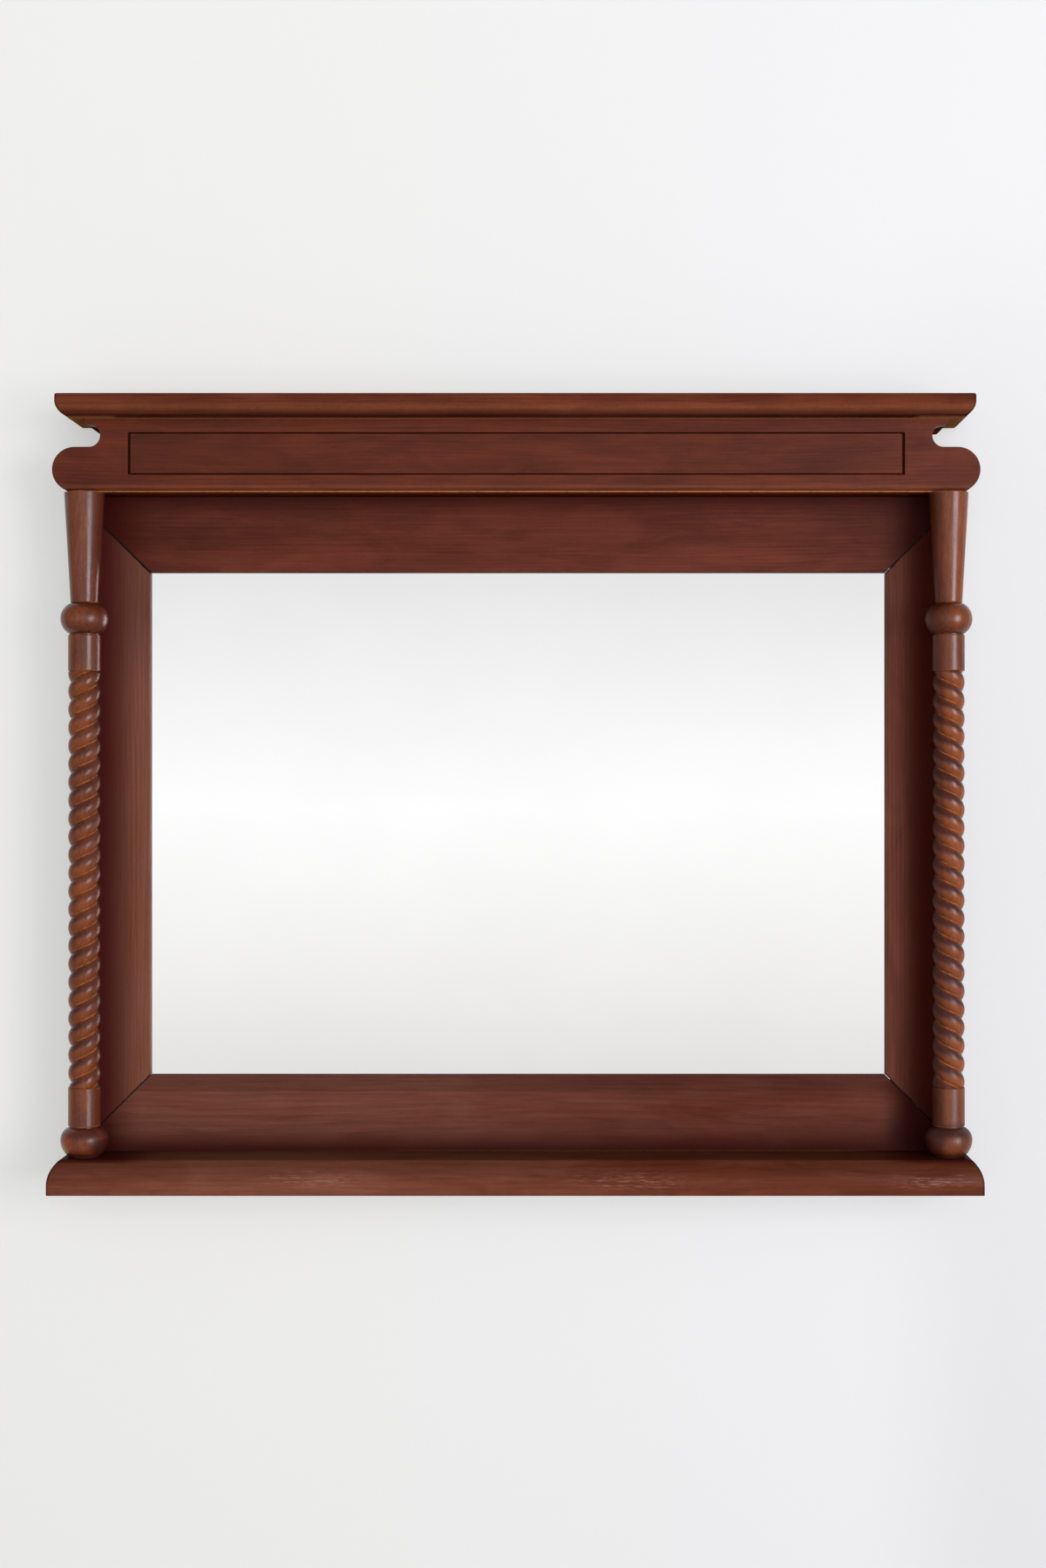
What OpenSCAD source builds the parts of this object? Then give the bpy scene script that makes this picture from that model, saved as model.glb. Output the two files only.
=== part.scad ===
// Overmantel mirror: a coffered, mitred mirror frame standing on a moulded shelf,
// with a pair of rope-twist columns in front that carry a scroll-ended header and a cornice.
// Millimetres. +Z is up, the front faces -Y and the back lies flat against the wall.

/* [Mirror opening] */
// Width of the mirror that shows between the sight edges
sight_w = 891; // [600:1:1200]
// Height of the mirror that shows between the sight edges
sight_h = 609; // [500:1:900]

/* [Frame moulding] */
// Width of the moulding across its face
face_w = 90; // [80:1:120]
// Thickness of the moulding at its outer edge
edge_t = 38; // [34:0.5:50]
// Thickness where the sloping face meets the inner strip
bend_t = 25; // [24:0.5:30]
// Thickness at the sight edge
sight_t = 23; // [20:0.5:24]
// Width of the flatter inner strip
strip_w = 22; // [12:0.5:30]
// Thickness of the lip in front of the glass
lip_t = 7; // [4:0.5:8]
// Overlap of the lip on the glass
rebate_w = 7; // [5:0.5:9]
// Width of the rebate for the back board, from the sight edge
board_rebate_w = 20; // [16:0.5:26]
// Radius worked on the arrises of the moulding
arris_r = 1.6; // [0.5:0.1:2.5]
// Open joint left at each mitre
mitre_gap = 0.6; // [0.2:0.1:1]

/* [Mitre splines] */
// Length of a spline along the mitre
spline_l = 50; // [30:1:60]
// Width of a spline across the mitre
spline_w = 30; // [20:1:36]
// Thickness of a spline
spline_t = 4; // [3:0.5:5]
// Depth of a spline's middle from the wall
spline_d = 14; // [12:0.5:16]

/* [Mirror and back board] */
// Thickness of the mirror glass
glass_t = 4; // [3:0.5:5]
// Thickness of the back board
board_t = 4; // [3:0.5:5]
// Distance of the back board behind the wall face of the frame
board_setback = 2; // [1:0.5:3]
// Length of a block that holds the glass
block_l = 40; // [25:1:60]
// Width of a block that holds the glass
block_w = 14; // [10:0.5:18]

/* [Shelf] */
// Thickness of the shelf
shelf_h = 40; // [34:0.5:46]
// Reach of the shelf past each side of the frame
shelf_overhang = 14.5; // [8:0.5:40]
// Reach of the shelf in front of the foot of a column
shelf_lip = 14; // [10:0.5:40]
// Height of the upright strip below the rounded nose
shelf_strip_h = 12; // [10:0.5:16]
// Radius of the rounded nose
shelf_nose_r = 37; // [36:0.5:48]

/* [Columns] */
// Distance of a column's axis inside the side of the frame
column_inset = 21.2; // [18:0.1:30]
// Gap between the foot ball and the frame
column_gap = 3; // [1:0.5:6]
// Radius of the foot ball and of the collar
ball_r = 28; // [26:0.5:32]
// Radius of the plain parts of the shaft
shaft_r = 19.1; // [18.5:0.1:21]
// Radius of the foot ball where it stands on the shelf
foot_base_r = 17.8; // [16:0.1:20]
// Height of the widest place of the foot ball
foot_belly_h = 20; // [18:0.5:22]
// Height of the foot ball
foot_h = 35; // [33:0.5:40]
// Height of the plain shaft over the foot ball
low_shaft_h = 47; // [30:1:60]
// Height of the plain shaft over the rope twist
top_shaft_h = 44; // [30:1:60]
// Height of the collar
collar_h = 36; // [30:0.5:42]
// Height of the tapered neck over the collar
neck_h = 132; // [100:1:160]
// Radius of the neck where it leaves the collar
neck_low_r = 16.3; // [14:0.1:18]
// Radius of the neck at the header
neck_top_r = 23.5; // [20:0.1:26]
// Width and depth of the quirks cut beside the ball and the collar
quirk = 1.4; // [0.6:0.1:2]

/* [Rope twist] */
// Outer radius of the rope twist
rope_r = 18.9; // [17:0.1:19]
// Depth of the groove between two strands
groove_depth = 4.5; // [3:0.1:6]
// Rise of a strand in one turn
lead = 43.2; // [36:0.1:60]
// Number of strands
strands = 2; // [2:1:3]
// Turn of the left column on its axis
left_turn = 142; // [0:1:180]
// Turn of the right column on its axis
right_turn = 132; // [0:1:180]

/* [Spigots] */
// Radius of the spigot under a column
foot_spigot_r = 8; // [6:0.5:10]
// Length of the spigot under a column
foot_spigot_l = 25; // [15:1:28]
// Radius of the spigot on top of a column
head_spigot_r = 5; // [4:0.5:5.5]
// Length of the spigot on top of a column
head_spigot_l = 20; // [12:1:30]

/* [Header] */
// Reach of the header's lobes past each side of the frame
lobe_overhang = 15; // [8:0.5:30]
// Radius of the lobes
lobe_r = 26.75; // [22:0.25:32]
// Radius of the notch over a lobe
notch_r = 13.5; // [10:0.25:16]
// Depth of the notch from the tip of the lobe
notch_in = 57; // [48:0.5:66]
// Height of the lug over the notch
lug_h = 7.5; // [6:0.5:12]
// Distance of the lug's end inside the tip of the lobe
lug_in = 38.5; // [34:0.5:43]
// Radius of the lug's lower corner
lug_r = 2.5; // [1:0.1:4]
// Thickness of the frieze board
frieze_t = 22; // [18:0.5:28]
// Radius of the frieze board's lower front edge
frieze_edge_r = 5; // [2:0.5:5]
// Wood left between a notch and the hollow of the header
block_wall = 23.5; // [18:0.5:40]
// Thickness of the soffit board
soffit_t = 15; // [12:0.5:20]
// Thickness of the header's back rail
rail_t = 20; // [18:0.5:26]

/* [Frieze panel] */
// Height of the panel's opening over the lower edge of the frieze board
panel_rise = 20.5; // [14:0.5:24]
// Height of the panel's opening
panel_h = 50; // [36:0.5:52]
// Distance of the panel's opening from a notch
panel_in = 33; // [20:1:80]
// Depth of the panel's recess, and thickness of the panel
panel_t = 8; // [5:0.5:10]
// Gap at each end of the panel
panel_end_gap = 3; // [1:0.1:4]
// Gap along the panel's long edges
panel_edge_gap = 1.2; // [0.5:0.1:2]

/* [Cornice] */
// Thickness of the cornice board
cornice_h = 24; // [22:0.5:30]
// Reach of the cornice past each side of the frame
cornice_overhang = 5; // [3:0.5:20]
// Reach of the cornice in front of the frieze
cornice_reach = 31; // [20:0.5:50]
// Height of the upright strip over the rounded edge
cornice_strip_h = 9; // [8:0.5:12]
// Radius of the rounded edge
cornice_nose_r = 17; // [15:0.5:24]

/* [Hangers] */
// Distance between the two hanger plates
hanger_spacing = 700; // [300:1:760]
// Width of a hanger plate
plate_w = 22; // [20:0.5:26]
// Height of a hanger plate
plate_h = 58; // [56:1:62]
// Thickness of a hanger plate
plate_t = 2; // [1.5:0.1:3]
// Radius of the keyhole's entry
entry_r = 5; // [4.5:0.1:5.5]
// Radius of the keyhole's slot
slot_r = 2.5; // [2.3:0.1:2.8]
// Rise of the keyhole's slot over its entry
slot_rise = 12; // [10:0.5:14]
// Depth of the pocket behind a hanger plate
pocket_depth = 10; // [8:0.5:12]

/* [Dowels, blocks and screws] */
// Radius of the cornice dowels
dowel_r = 4; // [3:0.5:5]
// Length of the cornice dowels
dowel_l = 30; // [20:1:34]
// Leg of a triangular glue block
glue_leg = 18; // [12:1:24]
// Length of a glue block
glue_l = 60; // [30:1:100]
// Shank radius of the board and hanger screws
small_screw_r = 1.75; // [1.5:0.05:2]
// Length of the board and hanger screws
small_screw_l = 15; // [10:1:16]
// Shank radius of the shelf and header screws
big_screw_r = 2.5; // [2:0.1:3]
// Length of the shelf screws
shelf_screw_l = 60; // [40:1:70]
// Length of the header screws
header_screw_l = 40; // [30:1:50]
// Depth of the counterbores under the shelf
counterbore_d = 12; // [6:1:16]

/* [Hidden] */

// Running clearance round a peg, a screw or a spline
fit_gap = 0.15;
// Clearance of the glass and the back board at their edges
edge_gap = 0.8;
// Overlap of a cutting shape past the face that it cuts
cut = 1;
round_fn = 96;
hole_fn = 36;

// Frame
frame_w = sight_w + 2 * face_w;
frame_h = sight_h + 2 * face_w;
frame_z = shelf_h;
sight_mid_z = frame_z + frame_h / 2;
glass_d = sight_t - lip_t - glass_t;
board_d = board_setback + board_t;

// Columns
column_x = frame_w / 2 - column_inset;
column_d = edge_t + column_gap + ball_r;
column_h = frame_h;
rope_h = column_h - foot_h - low_shaft_h - top_shaft_h - collar_h - neck_h;
// The strand's round back, from half its rise and the depth of its groove
strand_half = lead / strands / 2;
strand_arc_r = (strand_half * strand_half + groove_depth * groove_depth) / (2 * groove_depth);
rope_sides = 8 * strands;
rope_steps_per_turn = 18;

// Header: the spigots of the columns land in the middle of the frieze board
header_z = frame_z + frame_h;
header_h = 2 * lobe_r + 2 * notch_r + lug_h;
header_d = column_d + frieze_t / 2;
header_half = frame_w / 2 + lobe_overhang;
lobe_x = header_half - lobe_r;
notch_x = header_half - notch_in + notch_r;
notch_z = 2 * lobe_r + notch_r;
lug_x = header_half - lug_in;
hollow_half = header_half - notch_in - block_wall;
inner_d = header_d - frieze_t;
rail_h = header_h - soffit_t;
panel_half = header_half - notch_in - panel_in;

// Boards over and under
shelf_w = frame_w + 2 * shelf_overhang;
shelf_d = column_d + ball_r + shelf_lip;
cornice_z = header_z + header_h;
cornice_w = frame_w + 2 * cornice_overhang;
cornice_d = header_d + cornice_reach;
overall_d = max(shelf_d, cornice_d);

// Hangers
hanger_z = header_z + soffit_t + rail_h / 2;
entry_z = hanger_z - slot_rise / 2;
plate_screw_z = plate_h / 2 - 6;

// Fastening places
shelf_screw_x = [for (i = [-2 : 2]) i * frame_w / 5];
header_screw_x = [for (i = [-1.5 : 1.5]) i * hollow_half * 0.6];
rail_dowel_x = [for (i = [-1 : 1]) i * hollow_half * 0.55];
glue_x = [for (i = [-1 : 1]) i * hollow_half * 0.75];
screw_u = (rebate_w + board_rebate_w) / 2;

mahogany = [0.40, 0.21, 0.16];
dark_mahogany = [0.33, 0.16, 0.13];
column_brown = [0.45, 0.26, 0.17];
bare_pine = [0.78, 0.62, 0.42];
hardboard = [0.52, 0.38, 0.26];
mirror_silver = [0.88, 0.90, 0.91];
steel = [0.62, 0.63, 0.65];

// ---- Placing and sweeping -------------------------------------------------------------

// Sets the wall face at the back of the object's box
module place() {
    translate([0, overall_d / 2, 0]) children();
}

// Sweeps an outline drawn in (depth, height) along X, centred, with depth running forwards
module along_x(length) {
    translate([-length / 2, 0, 0]) rotate([90, 0, 90]) linear_extrude(length) mirror([1, 0]) children();
}

// Sweeps an outline drawn in (x, height) forwards, between two distances from the wall
module forwards(from, to) {
    translate([0, -from, 0]) rotate([90, 0, 0]) linear_extrude(to - from) children();
}

// Repeats a shape on both sides
module both_sides() {
    children();
    mirror([1, 0, 0]) children();
}

// What a rounding of radius r takes off a corner at the origin, whose wood lies left of it and below.
// Its circle is a touch larger than r, so that it meets both faces at a fine arris.
module corner_waste(r) {
    difference() {
        translate([-r, -r]) square([r + cut, r + cut]);
        translate([-r, -r]) circle(r = 1.02 * r, $fn = hole_fn);
    }
}

// Countersunk wood screw with its head at the origin, driven along +Z
module wood_screw(r, length) {
    difference() {
        union() {
            cylinder(r1 = 2 * r, r2 = r, h = 1.2 * r, $fn = hole_fn);
            cylinder(r = r, h = length - 2 * r, $fn = hole_fn);
            translate([0, 0, length - 2 * r]) cylinder(r1 = r, r2 = 0.3 * r, h = 2 * r, $fn = hole_fn);
        }
        translate([-2 * r - cut, -0.25 * r, -cut]) cube([4 * r + 2 * cut, 0.5 * r, cut + 0.5 * r]);
    }
}

// Hole that a wood screw fits, with its countersink
module screw_hole(r, length) {
    cylinder(r1 = 2 * r + fit_gap, r2 = r + fit_gap, h = 1.2 * r, $fn = hole_fn);
    translate([0, 0, -cut]) cylinder(r = r + fit_gap, h = length + cut + fit_gap, $fn = hole_fn);
}

// ---- Frame ----------------------------------------------------------------------------

// Section of the moulding: depth from the wall across, distance from the sight edge upwards
module frame_section() {
    difference() {
        polygon([
            [board_d, rebate_w], [glass_d + glass_t, rebate_w], [glass_d + glass_t, 0], [sight_t, 0],
            [bend_t, strip_w], [edge_t, face_w], [0, face_w], [0, board_rebate_w], [board_d, board_rebate_w]
        ]);
        translate([sight_t, 0]) mirror([0, 1]) corner_waste(arris_r);
        translate([edge_t, face_w]) corner_waste(arris_r);
    }
}

// Places of the back board's screws along a side of the given sight length
function board_screw_x(sight) = [for (i = [-1.5 : 1.5]) i * (sight - 60) / 3];

// One mitred side, lying over its sight edge, for a sight length and its number of screws
module frame_side(sight) {
    half = sight / 2 - mitre_gap / 2 * sqrt(2);
    intersection() {
        difference() {
            along_x(sight + 2 * face_w + 2 * cut) frame_section();
            for (x = board_screw_x(sight))
                translate([x, -board_setback, screw_u]) rotate([90, 0, 0]) screw_hole(small_screw_r, small_screw_l);
            both_sides() spline_at(sight, fit_gap);
        }
        forwards(-cut, edge_t + cut)
            polygon([[-half, 0], [half, 0], [half + face_w, face_w], [-half - face_w, face_w]]);
    }
}

// Spline across the mitre at the right-hand end of a side, grown by a clearance
module spline_at(sight, gap) {
    middle_u = (board_rebate_w + face_w) / 2;
    translate([sight / 2 + middle_u, -spline_d, middle_u])
        rotate([0, -45, 0])
            cube([spline_l + 2 * gap, spline_t + 2 * gap, spline_w + 2 * gap], center = true);
}

// Puts a side over the mirror's opening: 0 top, 90 left, 180 bottom, 270 right
module on_side(turn, sight_other) {
    translate([0, 0, sight_mid_z]) rotate([0, -turn, 0]) translate([0, 0, sight_other / 2]) children();
}

module frame_top_rail() {
    color(mahogany) place() difference() {
        on_side(0, sight_h) frame_side(sight_w);
        header_screw_set(true);
    }
}

module frame_bottom_rail() {
    color(mahogany) place() difference() {
        on_side(180, sight_h) frame_side(sight_w);
        shelf_screw_set(true);
    }
}

module frame_left_stile() {
    color(dark_mahogany) place() on_side(90, sight_w) frame_side(sight_h);
}

module frame_right_stile() {
    color(dark_mahogany) place() on_side(270, sight_w) frame_side(sight_h);
}

module mitre_splines() {
    color(bare_pine) place() for (turn = [0, 180])
        on_side(turn, sight_h) both_sides() spline_at(sight_w, 0);
}

// ---- Mirror and its backing -----------------------------------------------------------

// Flat sheet over the opening, larger than the sight size by a margin on each side
module sheet(margin, depth, thickness) {
    forwards(depth, depth + thickness)
        translate([0, sight_mid_z]) square([sight_w + 2 * margin, sight_h + 2 * margin], center = true);
}

module mirror_glass() {
    color(mirror_silver) place() sheet(rebate_w - edge_gap, glass_d, glass_t);
}

module back_board() {
    color(hardboard) place() difference() {
        sheet(board_rebate_w - edge_gap, board_setback, board_t);
        board_screw_set(true);
    }
}

// Blocks between the glass and the back board, two to each side
module block_pair(sight) {
    both_sides() translate([sight / 4 - block_l / 2, 0, rebate_w - edge_gap - block_w])
        forwards(board_d, glass_d) square([block_l, block_w]);
}

module mirror_blocks() {
    color(bare_pine) place() {
        for (turn = [0, 180]) on_side(turn, sight_h) block_pair(sight_w);
        for (turn = [90, 270]) on_side(turn, sight_w) block_pair(sight_h);
    }
}

// Screws of one side of the back board, or their holes
module board_screws_on(sight, holes) {
    for (x = board_screw_x(sight))
        translate([x, -board_setback, screw_u]) rotate([90, 0, 0])
            if (holes) screw_hole(small_screw_r, small_screw_l);
            else wood_screw(small_screw_r, small_screw_l);
}

module board_screw_set(holes) {
    for (turn = [0, 180]) on_side(turn, sight_h) board_screws_on(sight_w, holes);
    for (turn = [90, 270]) on_side(turn, sight_w) board_screws_on(sight_h, holes);
}

module back_board_screws() {
    color(steel) place() board_screw_set(false);
}

// ---- Moulded boards -------------------------------------------------------------------

// Half outline of a board with a rounded nose over an upright strip: reach across, height up
module nosed_half(reach, height, strip_h, nose_r) {
    intersection() {
        square([reach, height]);
        union() {
            square([reach, strip_h]);
            square([reach - nose_r, height]);
            translate([reach - nose_r, strip_h]) circle(r = nose_r, $fn = round_fn);
        }
    }
}

// Board of full width and depth whose nose runs along its front and both ends
module nosed_board(width, depth, height, strip_h, nose_r) {
    intersection() {
        along_x(width) nosed_half(depth, height, strip_h, nose_r);
        forwards(0, depth) both_sides() nosed_half(width / 2, height, strip_h, nose_r);
    }
}

module shelf() {
    color(mahogany) place() difference() {
        nosed_board(shelf_w, shelf_d, shelf_h, shelf_strip_h, shelf_nose_r);
        shelf_screw_set(true);
        both_sides() translate([column_x, -column_d, shelf_h - foot_spigot_l - fit_gap])
            cylinder(r = foot_spigot_r + fit_gap, h = foot_spigot_l + cut, $fn = hole_fn);
    }
}

module cornice() {
    color(mahogany) place() difference() {
        translate([0, 0, cornice_z + cornice_h]) mirror([0, 0, 1])
            nosed_board(cornice_w, cornice_d, cornice_h, cornice_strip_h, cornice_nose_r);
        dowel_set(fit_gap);
    }
}

// ---- Columns --------------------------------------------------------------------------

// Section radius of a ball that is ball_r wide at its belly and narrows to edge_r at a height h over it
function belly_section_r(h, edge_r) = (h * h + pow(ball_r - edge_r, 2)) / (2 * (ball_r - edge_r));

// Half section of a turned ball over its belly, with a solid core
module belly_half(h, edge_r) {
    section_r = belly_section_r(h, edge_r);
    intersection() {
        translate([ball_r - section_r, 0]) circle(r = section_r, $fn = round_fn);
        square([ball_r, h]);
    }
    square([edge_r, h]);
}

// Half section of the turned foot, the quirk over it and the lower plain shaft
module foot_section() {
    translate([0, foot_belly_h]) mirror([0, 1]) belly_half(foot_belly_h, foot_base_r);
    translate([0, foot_belly_h]) belly_half(foot_h - foot_belly_h, shaft_r - quirk);
    square([shaft_r - quirk, foot_h + 2 * quirk]);
    translate([0, foot_h + quirk]) square([shaft_r, low_shaft_h - quirk]);
}

// Half section of the plain shaft, the collar and the neck over the rope twist
module head_section() {
    collar_z = top_shaft_h + collar_h / 2;
    neck_z = top_shaft_h + collar_h;
    square([shaft_r, top_shaft_h - quirk]);
    square([shaft_r - quirk, top_shaft_h]);
    for (flip = [0, 1])
        translate([0, collar_z]) mirror([0, flip]) belly_half(collar_h / 2, shaft_r - quirk);
    square([neck_low_r - quirk, neck_z + quirk]);
    polygon([
        [0, neck_z + quirk], [neck_low_r, neck_z + quirk], [neck_top_r, neck_z + neck_h], [0, neck_z + neck_h]
    ]);
}

// Radius of the rope twist's section at an angle, with a groove at 0 and between all strands
function rope_radius(angle) =
    let (part = (angle % (360 / strands)) / (180 / strands) - 1)
    rope_r - strand_arc_r + sqrt(strand_arc_r * strand_arc_r - pow(strand_half * part, 2));

// Rope twist of length rope_h that reaches a little way into the shafts at both of its ends
module rope_twist(hand) {
    angles = [for (i = [0 : rope_sides - 1]) i * 360 / rope_sides];
    length = rope_h + 2 * cut;
    steps = round(length / lead * rope_steps_per_turn);
    translate([0, 0, -cut]) rotate(-hand * 360 * cut / lead)
        linear_extrude(length, twist = -hand * 360 * length / lead, slices = steps, segments = rope_sides)
            polygon([for (a = angles) rope_radius(a) * [cos(a), sin(a)]]);
}

// One turned column with its spigots, standing on the origin; hand is 1 for a right-hand twist
module column(hand, turn) {
    rope_z = foot_h + low_shaft_h;
    translate([0, 0, -foot_spigot_l]) cylinder(r = foot_spigot_r, h = foot_spigot_l + cut, $fn = round_fn);
    rotate_extrude($fn = round_fn) foot_section();
    translate([0, 0, rope_z]) rotate(turn) rope_twist(hand);
    translate([0, 0, rope_z + rope_h]) rotate_extrude($fn = round_fn) head_section();
    translate([0, 0, column_h - cut]) cylinder(r = head_spigot_r, h = head_spigot_l + cut, $fn = round_fn);
}

module column_left() {
    color(column_brown) place() translate([-column_x, -column_d, shelf_h]) column(1, left_turn);
}

module column_right() {
    color(column_brown) place() translate([column_x, -column_d, shelf_h]) column(-1, right_turn);
}

// ---- Header ---------------------------------------------------------------------------

// Outline of the header from the front: a lobe, a round notch and a lug at each end
module header_outline() {
    difference() {
        union() {
            translate([-lobe_x, 0]) square([2 * lobe_x, 2 * lobe_r]);
            translate([-lug_x, 0]) square([2 * lug_x, header_h]);
            for (side = [-1, 1]) translate([side * lobe_x, lobe_r]) circle(r = lobe_r, $fn = round_fn);
        }
        both_sides() {
            translate([notch_x, notch_z]) circle(r = notch_r, $fn = round_fn);
            translate([notch_x, notch_z - notch_r]) square([notch_in, 2 * notch_r]);
            translate([lug_x, header_h - lug_h]) mirror([0, 1]) corner_waste(lug_r);
        }
    }
}

// Opening of the frieze panel, or the panel itself when the gaps are taken off
module panel_outline(end_gap, edge_gap_y) {
    translate([end_gap - panel_half, panel_rise + edge_gap_y])
        square([2 * (panel_half - end_gap), panel_h - 2 * edge_gap_y]);
}

module frieze_board() {
    color(mahogany) place() difference() {
        translate([0, 0, header_z]) difference() {
            forwards(inner_d, header_d) header_outline();
            forwards(header_d - panel_t, header_d + cut) panel_outline(0, 0);
            along_x(2 * header_half + 2 * cut)
                translate([header_d, 0]) mirror([0, 1]) corner_waste(frieze_edge_r);
        }
        both_sides() translate([column_x, -column_d, header_z - cut])
            cylinder(r = head_spigot_r + fit_gap, h = head_spigot_l + cut + fit_gap, $fn = hole_fn);
    }
}

module frieze_panel() {
    color(mahogany) place() translate([0, 0, header_z])
        forwards(header_d - panel_t, header_d) panel_outline(panel_end_gap, panel_edge_gap);
}

// Scroll-cut block behind the right-hand end of the frieze board
module header_block() {
    difference() {
        translate([0, 0, header_z]) forwards(0, inner_d) intersection() {
            header_outline();
            translate([hollow_half, 0]) square([header_half, header_h]);
        }
        dowel_set(fit_gap);
    }
}

module header_block_left() {
    color(dark_mahogany) place() mirror([1, 0, 0]) header_block();
}

module header_block_right() {
    color(dark_mahogany) place() header_block();
}

module soffit_board() {
    color(dark_mahogany) place() difference() {
        translate([-hollow_half, -inner_d, header_z]) cube([2 * hollow_half, inner_d, soffit_t]);
        header_screw_set(true);
    }
}

// Triangular blocks glued behind the frieze board, to the soffit and to the cornice
module glue_blocks() {
    color(bare_pine) place() for (x = glue_x) {
        translate([x, 0, header_z + soffit_t]) along_x(glue_l)
            polygon([[inner_d, 0], [inner_d, glue_leg], [inner_d - glue_leg, 0]]);
        translate([x, 0, cornice_z]) along_x(glue_l)
            polygon([[inner_d, 0], [inner_d, -glue_leg], [inner_d - glue_leg, 0]]);
    }
}

// Pegs between the header and the cornice, grown by a clearance
module dowel_set(gap) {
    block_x = hollow_half + block_wall / 2;
    places = concat(
        [for (x = [-block_x, block_x], share = [0.3, 0.75]) [x, share * inner_d]],
        [for (x = rail_dowel_x) [x, rail_t / 2]]
    );
    for (p = places) translate([p.x, -p.y, cornice_z - dowel_l / 2 - gap])
        cylinder(r = dowel_r + gap, h = dowel_l + 2 * gap, $fn = hole_fn);
}

module cornice_dowels() {
    color(bare_pine) place() dowel_set(0);
}

// ---- Screws of the shelf and the header -----------------------------------------------

module shelf_screw_set(holes) {
    for (x = shelf_screw_x) translate([x, -edge_t / 2, counterbore_d]) {
        if (holes) {
            screw_hole(big_screw_r, shelf_screw_l);
            translate([0, 0, -counterbore_d - cut])
                cylinder(r = 2 * big_screw_r + 1, h = counterbore_d + cut, $fn = hole_fn);
        } else {
            wood_screw(big_screw_r, shelf_screw_l);
        }
    }
}

module header_screw_set(holes) {
    for (x = header_screw_x) translate([x, -edge_t / 2, header_z + soffit_t]) mirror([0, 0, 1])
        if (holes) screw_hole(big_screw_r, header_screw_l);
        else wood_screw(big_screw_r, header_screw_l);
}

module shelf_screws() {
    color(steel) place() shelf_screw_set(false);
}

module header_screws() {
    color(steel) place() header_screw_set(false);
}

// ---- Hangers --------------------------------------------------------------------------

// Upright oblong of a radius between two heights
module oblong(r, low_z, high_z) {
    translate([0, low_z]) circle(r = r, $fn = hole_fn);
    translate([0, high_z]) circle(r = r, $fn = hole_fn);
    translate([-r, low_z]) square([2 * r, high_z - low_z]);
}

// Outline of a hanger plate round its middle
module plate_outline(gap) {
    end_z = plate_h / 2 - plate_w / 2;
    oblong(plate_w / 2 + gap, -end_z, end_z);
}

// Pair of hanger screws, or their holes, round the middle of a plate
module plate_screws(holes) {
    for (z = [-plate_screw_z, plate_screw_z]) translate([0, 0, z]) rotate([90, 0, 0])
        if (holes) screw_hole(small_screw_r, small_screw_l);
        else wood_screw(small_screw_r, small_screw_l);
}

// Keyhole plate with its middle on the wall face at the origin
module hanger_plate() {
    difference() {
        forwards(0, plate_t) difference() {
            plate_outline(0);
            translate([0, entry_z - hanger_z]) circle(r = entry_r, $fn = hole_fn);
            oblong(slot_r, entry_z - hanger_z, entry_z - hanger_z + slot_rise);
        }
        plate_screws(true);
    }
}

// Recess, pocket and screw holes that a hanger plate needs in the back rail
module hanger_seat() {
    forwards(-cut, plate_t) plate_outline(fit_gap);
    forwards(0, plate_t + pocket_depth)
        oblong(entry_r + 2, entry_z - hanger_z, entry_z - hanger_z + slot_rise);
    plate_screws(true);
}

// Puts a shape at a hanger's place: side is -1 or 1
module at_hanger(side) {
    translate([side * hanger_spacing / 2, 0, hanger_z]) children();
}

module header_back_rail() {
    color(bare_pine) place() difference() {
        translate([-hollow_half, -rail_t, header_z + soffit_t]) cube([2 * hollow_half, rail_t, rail_h]);
        for (side = [-1, 1]) at_hanger(side) hanger_seat();
        dowel_set(fit_gap);
    }
}

module hanger_plate_left() {
    color(steel) place() at_hanger(-1) hanger_plate();
}

module hanger_plate_right() {
    color(steel) place() at_hanger(1) hanger_plate();
}

module hanger_screws() {
    color(steel) place() for (side = [-1, 1]) at_hanger(side) plate_screws(false);
}

// ---- Nodes ----------------------------------------------------------------------------

shelf();
frame_bottom_rail();
frame_top_rail();
frame_left_stile();
frame_right_stile();
mitre_splines();
mirror_glass();
mirror_blocks();
back_board();
back_board_screws();
column_left();
column_right();
header_block_left();
header_block_right();
soffit_board();
header_back_rail();
frieze_board();
frieze_panel();
glue_blocks();
cornice();
cornice_dowels();
header_screws();
shelf_screws();
hanger_plate_left();
hanger_plate_right();
hanger_screws();
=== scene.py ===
"""Looks of the overmantel mirror: woods, glass, metals, the finely turned columns, light and camera."""
import math

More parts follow.
